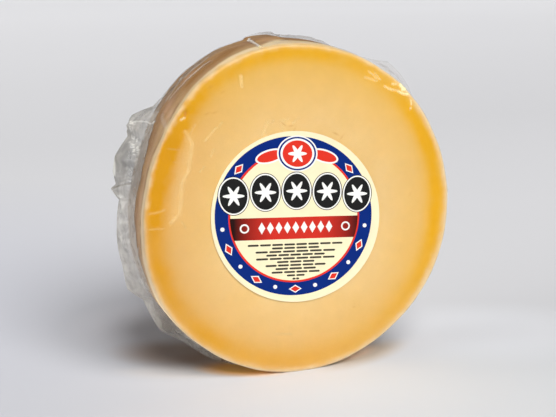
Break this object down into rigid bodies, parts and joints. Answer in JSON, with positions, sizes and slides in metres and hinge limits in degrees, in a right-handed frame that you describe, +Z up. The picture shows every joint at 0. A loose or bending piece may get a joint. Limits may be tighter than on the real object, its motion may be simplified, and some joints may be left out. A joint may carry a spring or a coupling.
{
  "type": "provolone cheese",
  "caption": "Thick round slice of provolone with a brown rind, standing on its edge, sealed in clear shrink film with a round printed label.",
  "frame": {"origin": "middle of the small flat spot that the slice rests on", "axes": "+Z up; +Y along the wheel's axis, away from the labelled face; +X to the right as seen from the labelled face"},
  "size_m": [0.2774, 0.0641, 0.2751],
  "materials": {
    "cheese": "smooth, slightly waxy pale yellow paste with an amber band inside the brown rind",
    "film": "clear glossy shrink film, crumpled at its ends",
    "label": "satin printed sticker"
  },
  "bodies": {
    "root": {"cheese_wheel": "cheese", "bag_sealed_end": "film", "bag_loose_corner": "film", "label": "label"}
  },
  "joints": []
}
